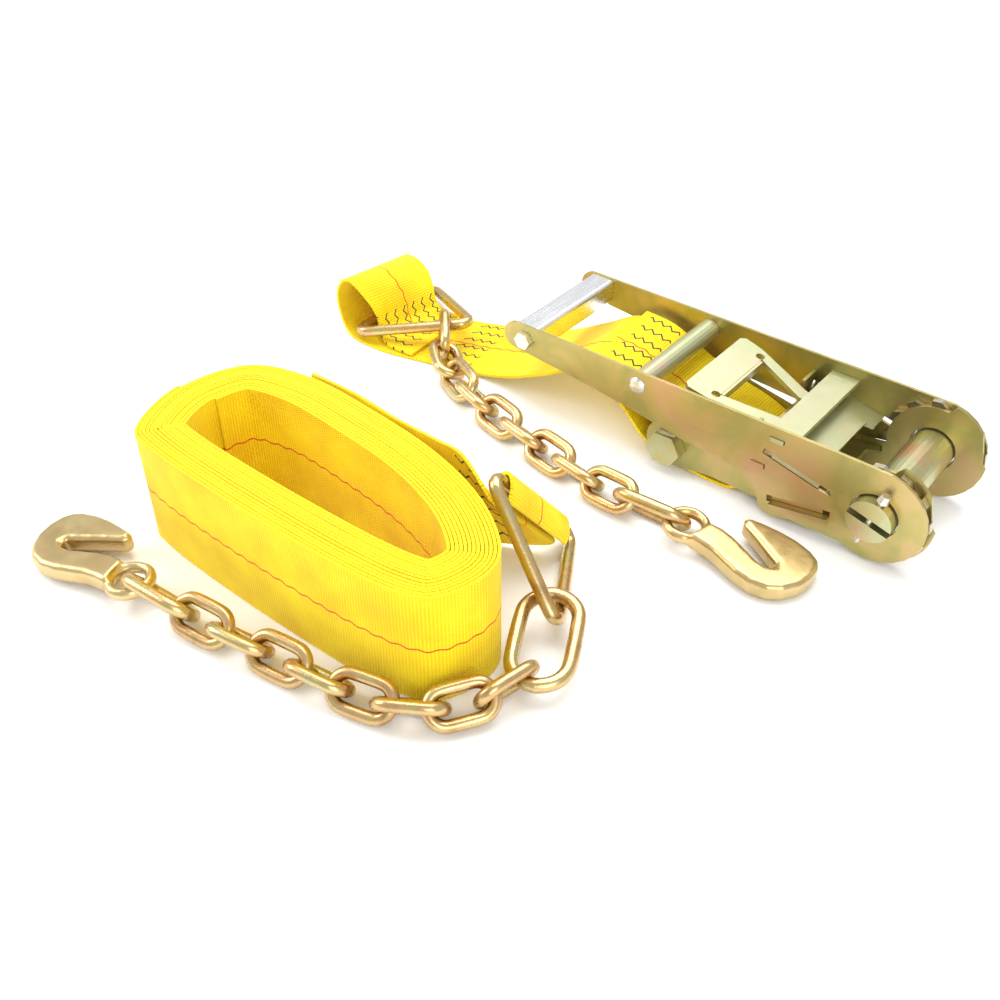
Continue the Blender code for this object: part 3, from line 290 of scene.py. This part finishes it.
def webbing(name, seams):
    """Woven strap; seams are the stretches along it, in metres, that carry zigzag stitching."""
    cloth = bpy.data.materials.new(name)
    cloth.use_nodes = True
    nodes, links = cloth.node_tree.nodes, cloth.node_tree.links
    yarn = nodes["Principled BSDF"]
    yarn.inputs["Roughness"].default_value = 0.62
    yarn.inputs["Sheen Weight"].default_value = 0.06
    yarn.inputs["Specular IOR Level"].default_value = 0.3
    place = nodes.new("ShaderNodeUVMap")
    place.uv_map = "weave"
    split = nodes.new("ShaderNodeSeparateXYZ")
    links.new(place.outputs["UV"], split.inputs["Vector"])

    def sum_of(kind, first, second=None):
        node = nodes.new("ShaderNodeMath")
        node.operation = kind
        for socket, value in zip(node.inputs, (first, second)):
            if isinstance(value, (int, float)):
                socket.default_value = value
            elif value is not None:
                links.new(value, socket)
        return node.outputs["Value"]

    across, along = split.outputs["X"], split.outputs["Y"]
    rib = sum_of("SINE", sum_of("MULTIPLY", along, 2.0 * math.pi / RIB))
    twill = sum_of("ADD", across, sum_of("MULTIPLY", along, 0.5))
    warp = sum_of("SINE", sum_of("MULTIPLY", twill, 2.0 * math.pi / THREAD))
    weave = sum_of("ADD", rib, sum_of("MULTIPLY", warp, 0.8))
    fade = nodes.new("ShaderNodeTexNoise")
    fade.inputs["Scale"].default_value = 22.0
    links.new(place.outputs["UV"], fade.inputs["Vector"])
    # Colour level: the weave's low threads are painted darker amber, as painted shade in the rib hollows; the
    # noise term adds uneven tone to the yarn.
    level = sum_of("ADD", sum_of("MULTIPLY", weave, 0.16), fade.outputs["Fac"])
    ramp = nodes.new("ShaderNodeValToRGB")
    ramp.color_ramp.elements[0].position = 0.2
    ramp.color_ramp.elements[0].color = (0.82, 0.50, 0.0, 1.0)
    ramp.color_ramp.elements[1].position = 0.75
    ramp.color_ramp.elements[1].color = (1.0, 0.80, 0.0, 1.0)
    links.new(level, ramp.inputs["Fac"])
    ripple = sum_of("SINE", sum_of("MULTIPLY", along, 2.0 * math.pi / MARKER_WAVE))
    sway = sum_of("MULTIPLY", ripple, MARKER_SWAY)
    middle = sum_of("ABSOLUTE", sum_of("SUBTRACT", sum_of("SUBTRACT", across, WEB_WIDTH / 2.0), sway))
    marker = nodes.new("ShaderNodeMixRGB")
    marker.inputs["Color2"].default_value = (0.72, 0.10, 0.01, 1.0)
    links.new(sum_of("LESS_THAN", middle, MARKER_HALF), marker.inputs["Fac"])
    links.new(ramp.outputs["Color"], marker.inputs["Color1"])
    colour = marker.outputs["Color"]
    for start, end in seams:
        zigzag = sum_of("PINGPONG", along, ZIGZAG)
        column = sum_of("PINGPONG", sum_of("ADD", across, zigzag), STITCH_PITCH)
        thread = sum_of("LESS_THAN", column, STITCH_HALF)
        inside = sum_of("MULTIPLY", sum_of("GREATER_THAN", along, start), sum_of("LESS_THAN", along, end))
        stitch = nodes.new("ShaderNodeMixRGB")
        stitch.inputs["Color2"].default_value = (0.03, 0.03, 0.03, 1.0)
        links.new(sum_of("MULTIPLY", thread, inside), stitch.inputs["Fac"])
        links.new(colour, stitch.inputs["Color1"])
        colour = stitch.outputs["Color"]
    links.new(colour, yarn.inputs["Base Color"])
    bump = nodes.new("ShaderNodeBump")
    bump.inputs["Strength"].default_value = 0.5
    bump.inputs["Distance"].default_value = 0.0005
    links.new(weave, bump.inputs["Height"])
    links.new(bump.outputs["Normal"], yarn.inputs["Normal"])
    return cloth


def smooth_line(points, steps):
    """Points along a Catmull-Rom curve through the given points."""
    line = []
    for i in range(len(points) - 1):
        before, after = points[max(i - 1, 0)], points[min(i + 2, len(points) - 1)]
        a, b = points[i], points[i + 1]
        for s in range(steps):
            t = s / steps
            slope_a, slope_b = (b - before) * 0.5, (after - a) * 0.5
            line.append(a * (2 * t**3 - 3 * t**2 + 1) + slope_a * (t**3 - 2 * t**2 + t)
                        + b * (-2 * t**3 + 3 * t**2) + slope_b * (t**3 - t**2))
    line.append(points[-1].copy())
    return line


def weave_strap(name, near, far, folds, nodes, thick=WEB_THICK, cross=6):
    """A strap between its two edge lines, mapped in metres of its own cloth, with its thickness."""
    bm = bmesh.new()
    uv = bm.loops.layers.uv.new("weave")
    run = [0.0]  # metres of cloth from the strap's first end
    for i in range(1, len(near)):
        step = ((near[i] + far[i]) - (near[i - 1] + far[i - 1])) / 2.0
        run.append(run[-1] + step.length)
    rows = [[bm.verts.new(a.lerp(b, k / cross)) for k in range(cross + 1)] for a, b in zip(near, far)]
    for i in range(len(rows) - 1):
        for k in range(cross):
            face = bm.faces.new((rows[i][k], rows[i][k + 1], rows[i + 1][k + 1], rows[i + 1][k]))
            for loop, (row, column) in zip(face.loops, ((i, k), (i, k + 1), (i + 1, k + 1), (i + 1, k))):
                loop[uv].uv = (WEB_WIDTH * column / cross, run[row])
            face.smooth = True
    mesh = bpy.data.meshes.new(name)
    bm.to_mesh(mesh)
    bm.free()
    strap = bpy.data.objects.new(name, mesh)
    bpy.context.scene.collection.objects.link(strap)
    bpy.ops.object.select_all(action="DESELECT")
    bpy.context.view_layer.objects.active = strap
    strap.select_set(True)
    ply = strap.modifiers.new("ply", "SOLIDIFY")
    ply.thickness = thick
    ply.offset = 0.0
    bpy.ops.object.modifier_apply(modifier="ply")
    bpy.ops.object.shade_smooth_by_angle(angle=math.radians(40.0))
    strap.data.materials.append(webbing(name + "_weave", [(run[-1] * a, run[-1] * b) for a, b in folds]))
    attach(strap, "ratchet_frame")
    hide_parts(*nodes)
    return strap, run[-1]


SHORT_STRAP_ROUTE = (
    ((-492, -66, 6.0), (-497, 26, 6.0)), ((-522, -68, 6.0), (-518, 22, 6.3)),
    ((-541, -60, 9.5), (-533, 22, 10.5)), ((-547, -56, 21.0), (-539, 23, 19.0)),
    ((-551, -59, 36.0), (-547, 28, 31.0)), ((-560, -65, 53.0), (-557, 32, 40.0)),
    ((-572, -68, 63.0), (-572, 34, 47.0)), ((-583, -69, 60.0), (-590, 35, 46.0)),
    ((-590, -70, 45.0), (-600, 34, 34.0)), ((-588, -71, 27.0), (-601, 32, 18.0)),
    ((-578, -73, 9.0), (-588, 29, 6.0)), ((-560, -75, 2.5), (-566, 25, 2.1)),
    ((-522, -74, 2.1), (-525, 22, 2.1)), ((-474, -62, 2.2), (-480, 33, 2.2)),
    ((-425, -50, 3.0), (-440, 50, 3.0)), ((-380, -48, 15.0), (-383, 52, 20.0)),
    ((-335, -50.8, 38.0), (-334, 50.8, 47.0)), ((-298, -50.8, 58.0), (-298, 50.8, 68.0)),
    ((-270, -50.8, 57.0), (-270, 50.8, 66.0)), ((-246, -50.8, 39.0), (-246, 50.8, 43.0)),
    ((-222, -50.8, 16.5), (-222, 50.8, 17.0)), ((-196, -50.8, 7.0), (-196, 50.8, 7.0)),
    ((-160, -50.8, 2.4), (-160, 50.8, 2.4)), ((-132, -50.8, 3.6), (-132, 50.8, 3.6)),
    ((-122, -50.8, 14.0), (-122, 50.8, 14.0)), ((-129, -50.8, 26.0), (-129, 50.8, 26.0)),
    ((-155, -50.8, 37.0), (-155, 50.8, 37.0)), ((-195, -50.8, 45.0), (-195, 50.8, 46.0)),
    ((-226, -50.8, 53.0), (-226, 50.8, 59.0)), ((-258, -50.8, 64.0), (-258, 50.8, 73.0)),
    ((-290, -50.8, 66.0), (-290, 50.8, 76.0)))
SEWN_STEPS = 6
near_edge = smooth_line([(Vector(a) + BENCH) * MM for a, b in SHORT_STRAP_ROUTE], SEWN_STEPS)
far_edge = smooth_line([(Vector(b) + BENCH) * MM for a, b in SHORT_STRAP_ROUTE], SEWN_STEPS)
short_strap, short_length = weave_strap("short_strap_webbing", near_edge, far_edge,
                                        ((0.01, 0.07), (0.33, 0.37), (0.95, 0.99)),
                                        ["short_strap"])

# The long strap: about nine metres of the same webbing wound flat into a standing oval coil.
COIL_OUTLINE = (
    (-503, -335), (-484, -392), (-452, -406), (-358, -411.5), (-245, -411), (-188, -404), (-165, -388),
    (-155, -352), (-167, -322), (-212, -290), (-276, -268), (-350, -257.5), (-426, -254.5), (-484, -275))
COIL_TURNS = 13
COIL_STEPS = 6
COIL_PACK = 0.041
COIL_FOOT = 0.0003
COIL_PLY = 0.0024
loop = [COIL_OUTLINE[-1]] + list(COIL_OUTLINE) + [COIL_OUTLINE[0], COIL_OUTLINE[1]]
plan = [(Vector((x, y, 0.0)) + BENCH) * MM for x, y in loop]
outer = smooth_line(plan, COIL_STEPS)[COIL_STEPS:-(COIL_STEPS + 1)]
inward = []
for i, point in enumerate(outer):
    along = (outer[(i + 1) % len(outer)] - outer[i - 1]).normalized()
    inward.append(Vector((-along.y, along.x, 0.0)))
random.seed(4)
lifts = [random.uniform(0.0, 0.0009) for turn in range(COIL_TURNS + 1)]
bottom_edge, top_edge = [], []
for i in range(COIL_TURNS * len(outer)):
    turn = i / len(outer)
    depth = WEB_THICK / 2.0 + (COIL_PACK - WEB_THICK) * turn / COIL_TURNS
    place = outer[i % len(outer)] + inward[i % len(outer)] * depth
    whole = int(turn)
    lift = lifts[whole] + (lifts[whole + 1] - lifts[whole]) * (turn - whole)
    bottom_edge.append(place + Vector((0.0, 0.0, COIL_FOOT + lift)))
    top_edge.append(place + Vector((0.0, 0.0, COIL_FOOT + WEB_WIDTH + lift)))
coil, coil_length = weave_strap("wound_webbing", bottom_edge, top_edge, (), ["strap_coil"],
                                COIL_PLY, 2)

# The long strap's outer end leaves the coil's back, gathers and turns round the second ring's web side.
WEB_SIDE = Vector((-0.2, -0.597, 0.777)).normalized()
APEX = Vector((0.715, -0.617, -0.33))
APEX = (APEX - WEB_SIDE * APEX.dot(WEB_SIDE)).normalized()
OFF_PLANE = WEB_SIDE.cross(APEX)
RING_BAR = (Vector((-206.6, -234.0, 51.0)) + BENCH) * MM - APEX * 0.010
LEAD_PINCH = 0.044
LEAD_ROUTE = (((-430, -252.0, 0.5), (-430, -252.0, 102)), ((-380, -251.5, 0.5), (-380, -251.5, 102)),
              ((-330, -256.5, 0.5), (-330, -256.5, 102)), ((-283, -256.0, 1.0), (-286, -258.0, 102)),
              ((-245, -235.0, 3.0), (-258, -258.0, 99)))
LEAD_TURN = ((12, -12), (4, -9.5), (-5, -6.5), (-8, 0), (-5, 6.5), (3, 7.6), (12, 5.5), (19, 1))
lows = [(Vector(a) + BENCH) * MM for a, b in LEAD_ROUTE]
highs = [(Vector(b) + BENCH) * MM for a, b in LEAD_ROUTE]
for depth, off in LEAD_TURN:
    spot = RING_BAR + APEX * depth * MM + OFF_PLANE * off * MM
    lows.append(spot - WEB_SIDE * LEAD_PINCH)
    highs.append(spot + WEB_SIDE * LEAD_PINCH)
lead, lead_length = weave_strap("lead_webbing", smooth_line(lows, SEWN_STEPS), smooth_line(highs, SEWN_STEPS),
                                ((0.6, 0.72),), ["strap_lead"])
